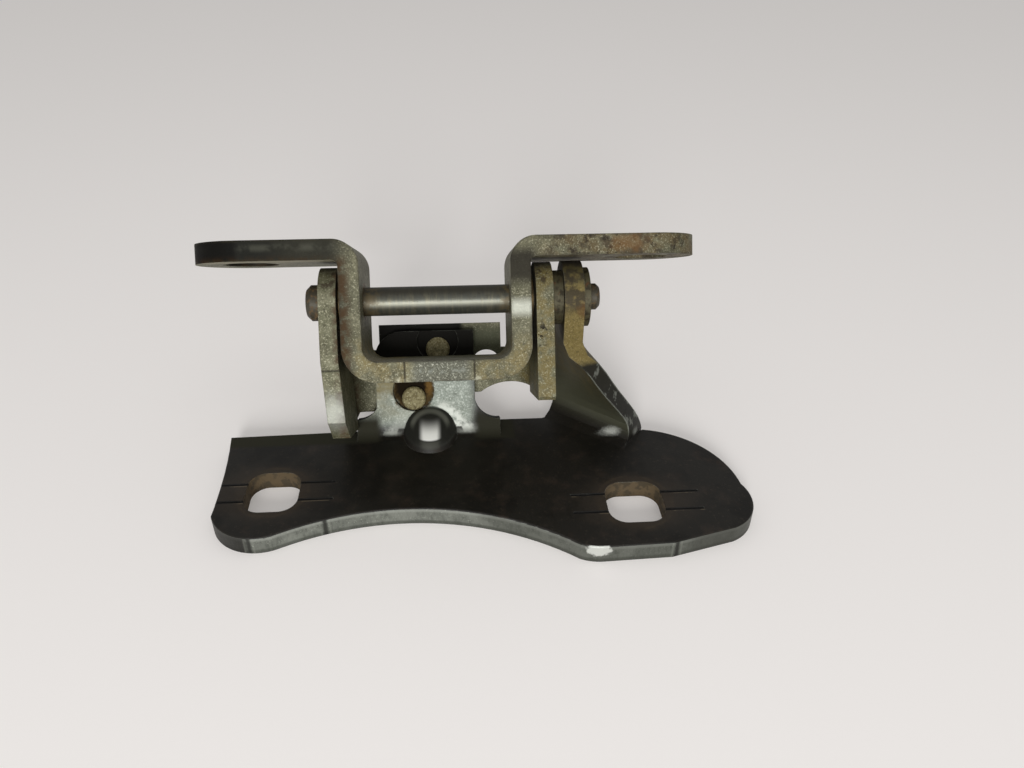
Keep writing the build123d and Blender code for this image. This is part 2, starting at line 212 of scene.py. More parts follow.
    def layer(self, mask, colour=None, roughness=None, metallic=None, height=None, strength=1.0,
              specular=None):
        """Lays one finish over what is there, as far as the mask goes."""
        mask = self.maths("MULTIPLY", mask, strength)
        if colour:
            self.colour = add(self.tree, "ShaderNodeMix", {0: mask, 6: self.colour, 7: linear(colour)},
                              data_type="RGBA").outputs[2]
        if roughness is not None:
            self.roughness = add(self.tree, "ShaderNodeMix",
                                 {0: mask, 2: self.roughness, 3: roughness}).outputs[0]
        if metallic is not None:
            self.metallic = add(self.tree, "ShaderNodeMix",
                                {0: mask, 2: self.metallic, 3: metallic}).outputs[0]
        if specular is not None:
            self.specular = add(self.tree, "ShaderNodeMix",
                                {0: mask, 2: self.specular, 3: specular}).outputs[0]
        if height is not None:
            self.height = self.maths("MULTIPLY_ADD", mask, height, self.height)

    def done(self, edge_radius=0.35):
        """Closes the material: rounded edges, relief and the shader."""
        normal = add(self.tree, "ShaderNodeBevel", {"Radius": edge_radius / 1000}, samples=6).outputs[0]
        if self.height:
            metres = self.maths("MULTIPLY", self.height, 0.001)
            normal = add(self.tree, "ShaderNodeBump",
                         {"Height": metres, "Normal": normal, "Strength": 1.0, "Distance": 1.0}).outputs[0]
        shader = add(self.tree, "ShaderNodeBsdfPrincipled", {
            "Base Color": self.colour, "Roughness": self.roughness, "Metallic": self.metallic,
            "Specular IOR Level": self.specular, "Normal": normal})
        add(self.tree, "ShaderNodeOutputMaterial", {0: shader.outputs[0]})
        return self.material


def dress(material, *nodes):
    """Gives CAD nodes their finish."""
    for node in nodes:
        thing = frame["nodes"][node]
        thing.data.materials.clear()
        thing.data.materials.append(material)


def steel_grain(finish, height):
    """Grain of rolled and plated sheet, with faint larger waves. Drawn coarser than the real grain of a
    few hundredths of a millimetre, which would vanish at this distance."""
    finish.layer(finish.cloud(0.5, 0.35, 0.65, seed=3), height=height)
    finish.layer(finish.cloud(2.2, 0.35, 0.7, seed=5), height=height * 2)


def speckle(finish, mask, pale, dark, seed):
    """Sparkle and grime on a rubbed, dusty surface. Drawn coarser than the real grains of about 0.1 mm."""
    sparkle = finish.both(mask, finish.cloud(0.42, 0.5, 0.72, seed=seed))
    finish.layer(sparkle, pale, roughness=0.42, metallic=0.4, strength=0.55)
    grime = finish.both(mask, finish.cloud(0.672, 0.5, 0.74, seed=seed + 0.5, detail=5))
    finish.layer(grime, dark, roughness=0.7, metallic=0.1, strength=0.6)


def plated_sheet(name, colour, pale, patch, seed, drift_seed):
    """Zinc-plated sheet, dulled to olive grey, in pale and dark patches under drifts of soot."""
    zinc = Finish(name, colour, 0.6, 0.3, leaning=True)
    zinc.layer(zinc.cloud(patch, 0.42, 0.66, seed=seed), pale, roughness=0.56)
    zinc.layer(zinc.cloud(patch / 2, 0.48, 0.7, seed=seed + 1, detail=5), "#39361f", roughness=0.62,
               strength=0.6)
    steel_grain(zinc, 0.014)
    zinc.layer(zinc.cloud(7, 0.46, 0.66, seed=drift_seed, detail=2), "#47452f", roughness=0.6,
               strength=0.6)
    return zinc


def close_sheet(zinc, seed):
    """Rubs the edges of a plated sheet, puts painted shade and dirt in its corners and closes it."""
    rubbed = zinc.both(zinc.edges(0.4), zinc.cloud(2.5, 0.44, 0.62, seed=seed))
    zinc.layer(rubbed, "#8d8d7b", roughness=0.46, metallic=0.4, strength=0.4)
    # Painted shade and dirt in the inner corners
    zinc.layer(zinc.corners(5), "#221a0e", roughness=0.8, metallic=0.0, strength=0.65)
    return zinc.done()


class HingeColours(bpy.types.PropertyGroup):
    """Main colours of the finishes."""
    plate: bpy.props.StringProperty(
        name="Plate", description="Dark coat of the mounting plate", default="#191610")
    rim: bpy.props.StringProperty(
        name="Rim", description="Sheared rim of the plate", default="#6f726a")
    tongue: bpy.props.StringProperty(
        name="Tongue", description="Plated steel of the tongue", default="#8c9389")
    strap: bpy.props.StringProperty(
        name="Strap", description="Plated steel of the strap", default="#5c5a45")
    clevis: bpy.props.StringProperty(
        name="Clevis", description="Plated steel of the clevis", default="#5e5d46")
    dust: bpy.props.StringProperty(
        name="Dust", description="Yellow-brown road dust", default="#57492b")
    rust: bpy.props.StringProperty(
        name="Rust", description="Brown rust", default="#4f3318")
    pin: bpy.props.StringProperty(
        name="Pin", description="Ground steel of the pin", default="#4d4e47")
    floor: bpy.props.StringProperty(
        name="Floor", description="Pale floor", default="#ebe7e4")


class HingeStage(bpy.types.PropertyGroup):
    """Camera and light."""
    lens: bpy.props.FloatProperty(
        name="Lens", description="Focal length on a 36 mm sensor", default=28.83, min=1, unit="CAMERA")
    key_power: bpy.props.FloatProperty(
        name="Key", description="Power of the front light", default=6.2, min=0, unit="POWER")
    fill_power: bpy.props.FloatProperty(
        name="Fill", description="Power of the top light", default=0.5, min=0, unit="POWER")
    ambient: bpy.props.FloatProperty(
        name="Ambient", description="Strength of the even light all round", default=0.42, min=0, max=2,
        subtype="FACTOR")
    floor_lift: bpy.props.FloatProperty(
        name="Floor lift", description="Extra paleness of the floor in view", default=0.2, min=0, max=1,
        subtype="FACTOR")


def coat_sheet(coat):
    """Brown and grey patches in the phosphate, over the grain of the sheet."""
    coat.layer(coat.cloud(14, 0.42, 0.62, seed=1), "#15130f", roughness=0.44, specular=0.3)
    coat.layer(coat.cloud(6, 0.5, 0.75, seed=2, detail=6), "#30271f", roughness=0.5, strength=0.7)
    coat.layer(coat.cloud(0.9, 0.6, 0.74, seed=4, detail=2), "#443c32", roughness=0.5, strength=0.3)
    steel_grain(coat, 0.006)


def plate_tongue(coat, colour):
    """Plated steel above the fold, fading into the dark coat at the flares. Returns its mask."""
    tongue = coat.both(coat.along(Z, 6.8, 10.5), coat.along(X, 8.5, 4.5))
    coat.layer(tongue, colour, roughness=0.6, metallic=0.3)
    dull = coat.both(tongue, coat.cloud(5, 0.42, 0.66, seed=6))
    coat.layer(dull, "#777d72", roughness=0.6, strength=0.75)
    bright = coat.both(tongue, coat.cloud(1.2, 0.5, 0.7, seed=7, detail=5))
    coat.layer(bright, "#c0c5bb", roughness=0.5, strength=0.5)
    speckle(coat, tongue, "#c9cec4", "#62675d", 61)
    stained = coat.both(tongue, coat.along(X, -7, -16), coat.along(Z, 8, 17),
                        coat.cloud(7, 0.22, 0.62, seed=12))
    coat.layer(stained, "#7d6f40", roughness=0.66, metallic=0.15, strength=0.85)
    return tongue


def paint_bead_light(coat):
    """The bead, pressed out of the same plated steel: darker as painted shade, with a painted pale
    crescent, a painted highlight on its crown and painted highlights on the bends beside it.
    """
    bead = coat.both(coat.near(BEAD, 10.2, 10.8, scale=BEAD_FORM), coat.along(Z, 5.9, 7.2),
                     coat.turned(OUTWARD, 0.9995, 0.997))
    # Painted shade on the bead's body, a painted pale crescent, a painted highlight on its crown and a
    # dimmer painted highlight below it
    coat.layer(bead, "#2b2b26", roughness=0.5, metallic=0.4)
    crescent = coat.both(bead, coat.near(BEAD_CROWN, 6.4, 7.6),
                         coat.outside(coat.near(BEAD_CROWN, 4.6, 6.0)), coat.along(Z, 8.5, 10.5))
    coat.layer(crescent, "#74756a", roughness=0.5, strength=0.8)
    middle = coat.between(X, -9.2, -3.8, 0.9)
    crown = coat.both(bead, middle, coat.along(Z, 7.9, 8.3), coat.along(Z, 11.8, 8.8))
    coat.layer(crown, "#efefe8", roughness=0.5, metallic=0.1, strength=0.95)
    skirt = coat.both(bead, middle, coat.along(Z, 6.0, 6.3), coat.along(Z, 8.0, 7.7))
    coat.layer(skirt, "#4c4c44", roughness=0.5, metallic=0.3, strength=0.7)
    # Painted highlights as bright strokes on the bends beside the bead and on the tongue above it
    beside = coat.both(coat.near(BEAD, 11.6, 13.4, scale=BEAD_FORM, rough=0.8), coat.along(Z, 6.4, 8),
                       coat.outside(bead))
    glare_beside_bead = coat.both(beside, coat.along(X, -6, 0), coat.cloud(1.6, 0.34, 0.56, seed=66, detail=5))
    coat.layer(glare_beside_bead, "#bdc0b7", roughness=0.5, metallic=0.3, strength=0.85)
    coat.layer(coat.both(beside, coat.along(X, -6, -12)), "#a3a69c", roughness=0.5, strength=0.35)
    # Painted glints at the listed spots
    for spot, inner, outer, width in GLINTS_BY_BEAD:
        rubbed = coat.both(coat.near(spot, inner, outer, scale=(width, 1, 1), rough=0.8),
                           coat.along(Z, 5.7, 6.3), coat.outside(bead))
        coat.layer(rubbed, "#b4b7ae", roughness=0.5, metallic=0.3, strength=0.8)


def darken_tongue(coat, tongue):
    """Painted shade on the flares, brown rivet recesses with painted shade round each rivet head, and
    painted shadow of the strap on the tongue behind it.
    """
    # Painted shade on the flares
    flare = coat.both(coat.either(coat.along(X, 5.5, 9), coat.along(X, -20.5, -23)),
                      coat.along(X, 20, 18), coat.along(Y, 24, 26), coat.along(Z, 13, 9))
    coat.layer(flare, "#2a291e", roughness=0.8, metallic=0.0, specular=0.2)
    for x, up in RECESSES:
        ring = coat.near((x, up, RECESS_FLOOR + 0.5), 5.6, 6.9, layout=coat.leaning, rough=1.4)
        coat.layer(coat.both(ring, tongue), "#4a3a1c", roughness=0.8, metallic=0.0, specular=0.2)
        # Painted shade on the floor of the recess round the rivet head
        floor = coat.near((x - 0.8, up + 0.6, RECESS_FLOOR), 4.0, 5.6, layout=coat.leaning, rough=1.0)
        coat.layer(coat.both(floor, tongue), "#1c150b", roughness=0.9, metallic=0.0, specular=0.1)
        streak = coat.near((x + 4.6, up + 1, RECESS_FLOOR + 1), 0.6, 1.8, scale=(1, 0.45, 1),
                           layout=coat.leaning, rough=0.8)
        coat.layer(coat.both(streak, tongue), "#7a5a28", roughness=0.75, metallic=0.0, strength=0.7)
    # Painted shadow of the strap: the tongue behind it drawn near black
    grease = coat.both(coat.along(Y, -21, -18, coat.leaning), coat.along(X, 20, 12), coat.along(Z, 10, 12))
    coat.layer(grease, "#13110c", roughness=0.7, metallic=0.0, specular=0.15)


def colour_ear(coat, rust):
    """The ear: olive brown inside, with painted shade darker towards the plate, and its sheared front edge.
    """
    # Painted shade at the ear's foot
    foot = coat.both(coat.along(X, 26, 30), coat.along(Z, 6.2, 10))
    coat.layer(foot, "#434334", roughness=0.5, metallic=0.2)
    ear = coat.both(coat.along(X, 26, 30), coat.along(Z, 12, 34))
    coat.layer(ear, "#534c2f", roughness=0.6, metallic=0.25)
    brown = coat.both(ear, coat.cloud(4, 0.42, 0.66, seed=8, detail=5))
    coat.layer(brown, "#695a33", roughness=0.66, metallic=0.15, strength=0.6)
    # The sheared edge is dark below, with pale streaks and a pale border as painted highlights, and tan
    # above
    sheared = coat.both(coat.along(X, 31, 32), coat.turned(EAR_EDGE_OUTWARD, 0.62, 0.82))
    low_cut = coat.both(sheared, coat.along(Z, 6.5, 9), coat.along(Z, 34, 31.5))
    coat.layer(low_cut, "#1c1c18", roughness=0.35, metallic=0.45, strength=0.94)
    streaks = coat.both(low_cut, coat.cloud(2.2, 0.54, 0.62, seed=19, stretch=(1, 1, 0.35)))
    coat.layer(streaks, "#74776f", roughness=0.32, metallic=0.5, strength=0.7)
    border = coat.both(coat.edges(0.8, 0.01, 0.12), coat.along(X, 38.5, 40), coat.along(Y, 30, 28),
                       coat.along(Z, 7, 10), coat.along(Z, 33, 31))
    coat.layer(border, "#8d9086", roughness=0.35, strength=0.8)
    high_cut = coat.both(sheared, coat.along(Z, 31.5, 34))
    coat.layer(high_cut, "#6d5f34", roughness=0.66, metallic=0.1, strength=0.92)
    speckle(coat, high_cut, "#a8986a", "#332b18", 62)
    tan = coat.both(high_cut, coat.cloud(1.8, 0.5, 0.66, seed=20, detail=5))
    coat.layer(tan, "#857748", roughness=0.66, strength=0.5)
    # Round the pin it is darker, with lumps of rust
    head = coat.both(coat.along(X, 30, 31.5), coat.along(Z, 47, 52), coat.cloud(3, 0.36, 0.54, seed=13))
    coat.layer(head, "#2c261b", roughness=0.72, metallic=0.1, height=0.06, strength=0.85)
    lump = coat.both(coat.along(X, 33, 34), coat.near(PEENED_END, 0.8, 3.2, rough=1.2))
    coat.layer(lump, rust, roughness=0.8, metallic=0.05, height=0.05, strength=0.8)
    # A painted glint along the bend at its foot
    glint = coat.both(coat.near(EAR_FOOT_BEND, 0.2, 2.2, scale=(0.26, 0.9, 1), rough=0.5),
                      coat.along(Z, 5.5, 6))
    coat.layer(glint, "#c9cbc2", roughness=0.45, metallic=0.3, strength=0.85)


def shear_rims(coat, colour):
    """Sheared rims: a smooth upper band, a matt lower one, score lines and narrow notches."""
    rim = coat.both(coat.along(Z, 5.45, 5.2), coat.turned(UP, 0.5, 0.2))
    coat.layer(rim, colour, roughness=0.5, metallic=0.4)
    ends = coat.either(coat.along(Y, 2, 10), coat.along(X, -53.6, -55))
    marks = (
        (coat.cloud(0.7, 0.4, 0.7, seed=10, stretch=(1, 1, 0.3)), "#484b44", 0.55, 0.5),
        (coat.cloud(0.45, 0.58, 0.7, seed=21), "#a9aca2", 0.45, 0.6),
        (coat.cloud(5, 0.45, 0.65, seed=16), "#8d9087", 0.42, 0.5),
        (coat.along(Z, 3.9, 4.6), "#9a9d95", 0.4, 0.55),
        (coat.along(Z, 1.6, 0.8), "#373932", 0.6, 0.6),
        (ends, "#1d1b17", 0.5, 0.9),
        (coat.along(X, 2, 14), "#3b3c35", 0.5, 0.5),
        (coat.along(X, 60, 66), "#34342e", 0.5, 0.6),
    )
    for mask, tone, roughness, strength in marks:
        coat.layer(coat.both(rim, mask), tone, roughness=roughness, strength=strength)
    # Steps where the shear tools met, as narrow upright notches with a pale lip on both sides
    front = coat.along(Y, 0, -4)
    for x in RIM_STEPS:
        step = coat.both(rim, coat.between(X, x - 0.5, x + 0.5, 0.35), front)
        coat.layer(step, "#1c1c18", roughness=0.6, height=-0.35, strength=0.85)
        for edge in (x - 1.2, x + 1.2):
            lip = coat.both(rim, coat.between(X, edge - 0.15, edge + 0.15, 0.3), front)
            coat.layer(lip, "#8b8e84", roughness=0.4, height=0.1, strength=0.4)


def rust_holes(coat):
    """Brown rust on the walls of the fixing holes, and rings where the washers sat."""
    for x, y, width in FIXING_HOLES:
        middle = (x, y, PLATE_TOP)
        out = width / 2
        halo = coat.near(middle, out + 1.2, out + 4.2, scale=FLAT, rough=2.0)
        coat.layer(halo, "#33291c", roughness=0.6, metallic=0.15, strength=0.75)
        ring = coat.both(coat.near(middle, out + 2.6, out + 3.1, scale=FLAT, rough=0.6),
                         coat.near(middle, out + 2.3, out + 1.8, scale=FLAT, rough=0.6),
                         coat.cloud(3, 0.42, 0.58, seed=17))
        coat.layer(ring, "#4a3f2e", roughness=0.6, metallic=0.2, strength=0.35)
        wall = coat.both(coat.near(middle, out + 0.8, out + 1.4, scale=(0.9, 0.9, 0)),
                         coat.turned(UP, 0.7, 0.3))
        coat.layer(wall, "#5c4d36", roughness=0.8, metallic=0.0, strength=0.9)
        crust = coat.both(wall, coat.cloud(2.5, 0.45, 0.6, seed=14))
        coat.layer(crust, "#3a3325", roughness=0.8, strength=0.75)


def wear_edges(coat):
    """A chip of bare steel on the front corner, and edges rubbed bright."""
    chip = coat.both(coat.near(FRONT_CORNER, 1.5, 2.2, scale=(0.58, 1, 0.9), rough=0.9),
                     coat.turned(FORWARD, 0.2, 0.5))
    coat.layer(chip, "#c6c8c1", roughness=0.55, metallic=0.3)
    brightened = coat.both(coat.edges(0.4), coat.cloud(3, 0.4, 0.6, seed=11))
    coat.layer(brightened, "#85887e", roughness=0.45, metallic=0.4, strength=0.55)


def groove_lines(coat):
    """Dark setting-out grooves with a painted highlight on their front lip, on a coat that is a little
    paler round each hole as painted sheen.
    """
    for y, start, end in GROOVES:
        # Painted sheen: the coat a little paler round each hole
        pale = coat.both(coat.near(((start + end) / 2, y, PLATE_TOP), 11, 21, scale=(1, 1.5, 0), rough=3),
                         coat.turned(UP, 0.9, 0.97))
        coat.layer(pale, "#332b22", roughness=0.5, strength=0.55)
        length = coat.between(X, start, end, 0.4)
        for mid in (y - GROOVE_OFFSET, y + GROOVE_OFFSET):
            groove = coat.both(coat.between(Y, mid - 0.5, mid + 0.5, 0.1), length,
                               coat.along(Z, 4.8, 5.0), coat.cloud(1.5, 0.2, 0.34, seed=18))
            coat.layer(groove, "#080706", roughness=0.85, metallic=0.0, strength=0.95)
            # Painted highlight on the front lip of each groove
            lip = coat.both(coat.between(Y, mid - 0.85, mid - 0.6, 0.1), length,
                            coat.along(Z, 5.3, 5.45), coat.cloud(4, 0.45, 0.6, seed=22))
            coat.layer(lip, "#6f6350", roughness=0.5, strength=0.65)


class HINGE_OT_bracket(bpy.types.Operator):
    """Finishes the pressed pillar bracket: dark plate, plated tongue and ear, sheared rims."""
    bl_idname = "hinge.bracket"
    bl_label = "Pillar bracket"

    def execute(self, context):
        colours = context.scene.hinge_colours
        # Phosphated and oiled deep-drawing steel: near black, slightly glossy, with a brown cast
        coat = Finish("phosphated pressed steel", colours.plate, 0.5, 0.15)
        coat_sheet(coat)
        tongue = plate_tongue(coat, colours.tongue)
        paint_bead_light(coat)
        darken_tongue(coat, tongue)
        colour_ear(coat, colours.rust)
        shear_rims(coat, colours.rim)
        rust_holes(coat)
        wear_edges(coat)
        groove_lines(coat)
        # Painted shade and old dirt in the inner corners
        coat.layer(coat.corners(5), "#17130c", roughness=0.8, metallic=0.0, strength=0.55)
        dress(coat.done(), "base_bracket")
        return {"FINISHED"}


def dust_strap(zinc, front, dust):
    """Road dust on the right flange and round the web's bends, with grime, pits and a rust spot."""
    dusty = zinc.cloud(5, 0.36, 0.6, seed=4, detail=6)
    right = zinc.along(X, 20, 34)
    low = zinc.both(zinc.along(Y, -8, -14), zinc.either(zinc.along(X, -9, -13), zinc.along(X, 6, 10)))
    zinc.layer(zinc.both(dusty, right), dust, roughness=0.7, metallic=0.1, strength=0.9)
    zinc.layer(zinc.both(dusty, low), "#766a42", roughness=0.68, metallic=0.1, strength=0.8)
    speckle(zinc, EVERYWHERE, "#b3b096", "#2a271a", 63)
    grime = zinc.both(zinc.cloud(3, 0.48, 0.62, seed=6, detail=6), right)
    zinc.layer(grime, "#31291a", roughness=0.75, metallic=0.1, strength=0.8)
    pits = zinc.both(zinc.cloud(1.5, 0.58, 0.66, seed=5, detail=4), right)
    zinc.layer(pits, "#221a0f", roughness=0.85, metallic=0.0, height=-0.05, strength=0.8)
    rusty = zinc.both(zinc.near(FLANGE_RUST, 0.8, 3.6, scale=(0.5, 1, 0), rough=2.5), front)
    zinc.layer(rusty, "#67471f", roughness=0.75, metallic=0.0, strength=0.6)


def darken_left_flange(zinc, front):
    """The left flange: darker towards its end, with a black shear mark, rust from the gap and painted light
    on its faces that look down.
    """
    left = zinc.along(X, -23, -31)
    zinc.layer(zinc.both(left, front), "#23221a", roughness=0.6, metallic=0.1, strength=0.96,
               specular=0.15)
    zinc.layer(zinc.both(zinc.along(X, -36, -50), front), "#15150f", roughness=0.6, metallic=0.1,
               specular=0.15)
    # Painted light: paler on the faces that look down
    under = zinc.both(left, zinc.turned(DOWNWARD, 0.4, 0.9), zinc.along(Z, 3, 9))
    zinc.layer(under, "#8d876f", roughness=0.6, strength=0.8)
    smear = zinc.both(left, zinc.between(Y, 13.6, 15.2, 0.8), zinc.cloud(6, 0.42, 0.6, seed=17), front)
    zinc.layer(smear, "#4b4b40", roughness=0.5, strength=0.5)
    tip = zinc.both(zinc.along(X, -53.5, -55.5), front)
    zinc.layer(tip, "#0e0d0a", roughness=0.65, metallic=0.0, strength=0.95, specular=0.1)
    seam = zinc.both(zinc.along(X, -24.6, -27.2), zinc.along(Y, 13, 9),
                     zinc.cloud(2.5, 0.36, 0.56, seed=18, detail=5), front)
    zinc.layer(seam, "#3f2a12", roughness=0.8, metallic=0.0, strength=0.85)


def mark_web(zinc, front):
    """The web's front edge: two shear marks, a bright burr below and a bare middle."""
    for x in WEB_MARKS:
        mark = zinc.both(zinc.between(X, x - 0.2, x + 0.2, 0.22), zinc.along(Y, -15, -16), front)
        zinc.layer(mark, "#20190e", roughness=0.8, metallic=0.0, height=-0.15, strength=0.85)
    burr = zinc.both(zinc.between(X, -17, 12, 3), zinc.along(Y, -20.2, -21.4), front,
                     zinc.cloud(1.6, 0.42, 0.66, seed=15, detail=6))
    zinc.layer(burr, "#aeac96", roughness=0.5, metallic=0.3, height=0.06, strength=0.75)
    middle = zinc.both(zinc.between(X, -9.5, 5.5, 1.5), zinc.along(Y, -14, -16), front)
    zinc.layer(middle, "#45463a", roughness=0.5, metallic=0.35, strength=0.85)
    speckle(zinc, middle, "#aeae9e", "#26241a", 70)
    bare = zinc.both(zinc.between(X, -9.5, 5, 1.5), zinc.between(Y, -19.6, -18.4, 0.6), front,
                     zinc.cloud(1.5, 0.47, 0.66, seed=19))
    zinc.layer(bare, "#6c6f66", roughness=0.48, strength=0.7)


def grease_strap(zinc, front):
    """Painted shade and soot along both rims of the front face, grease on the right wall and a painted
    highlight below it.
    """
    # Painted shade with soot along the rims
    rims = zinc.both(front, zinc.edges(1.4, 0.004, 0.1), zinc.cloud(4, 0.34, 0.56, seed=67))
    zinc.layer(rims, "#2f2b1d", roughness=0.65, metallic=0.1, strength=0.6)
    wall = zinc.both(zinc.between(X, 16, 24, 1.5), zinc.along(Y, 1.5, 6.5), zinc.along(Y, 15, 11), front)
    zinc.layer(wall, "#221e14", roughness=0.6, metallic=0.1, strength=0.94, specular=0.2)
    # Painted highlight on the right wall
    wall_highlight = zinc.both(zinc.between(X, 17, 23, 1.2), zinc.between(Y, -4.6, -0.6, 1.6), front)
    zinc.layer(wall_highlight, "#b9bbae", roughness=0.45, metallic=0.3, strength=0.75)


class HINGE_OT_strap(bpy.types.Operator):
    """Finishes the door strap: plated steel under road dust, dark on the left flange."""
    bl_idname = "hinge.strap"
    bl_label = "Door strap"

    def execute(self, context):
        colours = context.scene.hinge_colours
        # Zinc-plated steel strip, dulled to olive grey, with yellow-brown dust and rust specks
        zinc = plated_sheet("zinc-plated strip steel", colours.strap, "#6e6b53", 6, 1, 68)
        # The sheared front edge, all that faces out of the tongue
        front = zinc.turned(OUTWARD, 0.15, 0.6)
        dust_strap(zinc, front, colours.dust)
        darken_left_flange(zinc, front)
        mark_web(zinc, front)
        grease_strap(zinc, front)
        dress(close_sheet(zinc, 11), "door_strap")
        return {"FINISHED"}


class HINGE_OT_clevis(bpy.types.Operator):
    """Finishes the riveted clevis: plated steel, dusty ears, a painted highlight at the foot of the left
    ear, and painted shadow and light on the web.
    """
    bl_idname = "hinge.clevis"
    bl_label = "Clevis"

    def execute(self, context):
        colours = context.scene.hinge_colours
        # The same zinc-plated sheet as the strap, thinner and more rubbed
        zinc = plated_sheet("zinc-plated clevis sheet", colours.clevis, "#716f58", 5, 21, 69)
        front = zinc.turned(OUTWARD, 0.15, 0.6)
        # Dust on the right ear, and rust beside the gap on the left one
        dusty = zinc.both(zinc.cloud(4, 0.36, 0.6, seed=24, detail=6), zinc.along(X, 18, 24))
        zinc.layer(dusty, "#6d6138", roughness=0.7, metallic=0.1, strength=0.9)
        speckle(zinc, EVERYWHERE, "#b3b096", "#2a271a", 64)
        seam = zinc.both(zinc.between(X, -30.6, -28, 0.9), front,
                         zinc.cloud(2.5, 0.38, 0.56, seed=27, detail=5))
        zinc.layer(seam, "#46301a", roughness=0.78, metallic=0.0, strength=0.8)
        grime = zinc.both(zinc.cloud(2, 0.5, 0.64, seed=26, detail=6), zinc.along(Y, 0, 5))
        zinc.layer(grime, "#33291a", roughness=0.75, metallic=0.1, strength=0.85)
        pits = zinc.both(zinc.cloud(1.6, 0.56, 0.62, seed=25, detail=4), zinc.between(Y, -13, -7, 2),
                         zinc.between(X, 24, 27, 0.6))
        zinc.layer(pits, "#150f09", roughness=0.9, metallic=0.0, height=-0.12)
        # A painted highlight at the left ear's foot
        brightened = zinc.both(zinc.near(LEFT_EAR_FOOT, 0.8, 6.5, scale=(1, 0.8, 0.6), rough=1.2), front)
        zinc.layer(brightened, "#a3a59c", roughness=0.5, metallic=0.4, strength=0.75)
        # A shear step half way down the left ear's front edge
        step = zinc.both(zinc.between(Y, -18.6, -18.2, 0.22), zinc.along(X, -24, -26), front)
        zinc.layer(step, "#211d15", roughness=0.6, height=-0.15, strength=0.8)
        # Between the ears the web is black with painted shadow, through to its back, and paler at the right
        # as painted light
        web = zinc.along(Z, -14, -16)
        web_shadow = zinc.both(zinc.along(Y, -23, -19), zinc.between(X, -23, 4, 1), web)
        zinc.layer(web_shadow, "#110f0b", roughness=0.7, metallic=0.0, specular=0.15)
        pale = zinc.both(zinc.between(X, 4, 16, 2), zinc.between(Y, -16, -9, 2), web)
        zinc.layer(pale, "#62664f", roughness=0.66, metallic=0.1, strength=0.7)
        dress(close_sheet(zinc, 31), "clevis_bracket")
        return {"FINISHED"}


class HINGE_OT_pin(bpy.types.Operator):
    """Finishes the ground pin and the two bronze bushes."""
    bl_idname = "hinge.pin"
    bl_label = "Pin and bushes"

    def execute(self, context):
        colours = context.scene.hinge_colours
        # Ground and oiled steel: satin, with fine rings round the pin and a film of dust at its ends
        steel = Finish("ground pin steel", colours.pin, 0.42, 0.6, leaning=True)
        steel.layer(steel.cloud(3, 0.4, 0.7, seed=41, stretch=(3, 0.4, 0.4)), "#625f50", roughness=0.44)
        steel.layer(steel.cloud(0.7, 0.4, 0.65, seed=42, stretch=(1, 0.1, 0.1)), height=0.006)
        steel.layer(steel.cloud(1.2, 0.5, 0.7, seed=46, detail=5), "#3d3a30", roughness=0.5, strength=0.5)
        # Painted shade above, where the pin reflects the dark strap, and a painted highlight in a line
        # below the middle
        steel.layer(steel.along(Y, 0.4, 2.6), "#2b281e", roughness=0.5, metallic=0.3, strength=0.85)
        line = steel.both(steel.between(Y, -1.6, -0.6, 0.8), steel.along(Z, 0, 2))
        steel.layer(line, "#b0b0a0", roughness=0.4, strength=0.45)
        ends = steel.either(steel.along(X, -16, -22), steel.along(X, 12, 17))
        dusty = steel.both(steel.cloud(2.5, 0.4, 0.6, seed=43), ends)
        steel.layer(dusty, colours.dust, roughness=0.55, metallic=0.2, strength=0.7)
        # Head and peened end stand in the open, dull and rusty
        heads = steel.either(steel.along(X, -34, -35), steel.along(X, 36, 38))
        steel.layer(heads, "#3f3a2e", roughness=0.55, metallic=0.3, strength=0.9)
        rusty = steel.both(heads, steel.cloud(1.5, 0.5, 0.65, seed=44, detail=5))
        steel.layer(rusty, "#5f4b30", roughness=0.8, metallic=0.0, height=0.04, strength=0.8)
        # Painted shade and dirt in the inner corners
        steel.layer(steel.corners(3), "#2e271b", roughness=0.8, metallic=0.0, strength=0.5)
        dress(steel.done(), "hinge_pin")
        # Sintered bronze, dark with oil
        bronze = Finish("oiled bronze", "#5b4a2c", 0.5, 0.6)
        bronze.layer(bronze.cloud(1.5, 0.4, 0.65, seed=45), "#3d3220", roughness=0.65)
        bronze.layer(bronze.edges(0.3), "#8d7444", roughness=0.35)
        dress(bronze.done(0.2), "bush_left", "bush_right")
        return {"FINISHED"}


class HINGE_OT_fasteners(bpy.types.Operator):
    """Finishes the washers and rivets."""
    bl_idname = "hinge.fasteners"
    bl_label = "Washers and rivets"

    def execute(self, context):
        colours = context.scene.hinge_colours
        # Dull zinc over stamped steel, rusting from its rims
        zinc = Finish("dull zinc washer", "#4d4833", 0.55, 0.35)
        zinc.layer(zinc.cloud(1.5, 0.45, 0.65, seed=51, detail=5), "#2f2919", roughness=0.65)
        zinc.layer(zinc.cloud(2, 0.55, 0.68, seed=52, detail=5), colours.rust, roughness=0.85,
                   metallic=0.0, height=0.05, strength=0.8)
        zinc.layer(zinc.edges(0.3), "#807e6c", roughness=0.45, metallic=0.4, strength=0.6)
        dress(zinc.done(0.25), "spacer_washer", "end_washer")
        # Cold-headed rivet, covered with grainy yellow-grey dust
        rivet = Finish("dusty rivet steel", "#8c8460", 0.7, 0.1)
        rivet.layer(rivet.cloud(0.8, 0.4, 0.65, seed=53, detail=4), "#6f6543", roughness=0.75, height=0.03)
        rivet.layer(rivet.cloud(0.5, 0.58, 0.7, seed=54), "#cbc3a0", roughness=0.6, strength=0.8)
        rivet.layer(rivet.cloud(0.6, 0.52, 0.66, seed=55, detail=4), "#4a4128", roughness=0.8, strength=0.7)
        # Painted shade and dirt in the inner corners
        rivet.layer(rivet.corners(2), "#3b2d18", roughness=0.9, metallic=0.0, strength=0.7)
        dress(rivet.done(0.4), "rivet_lower", "rivet_upper")
        return {"FINISHED"}


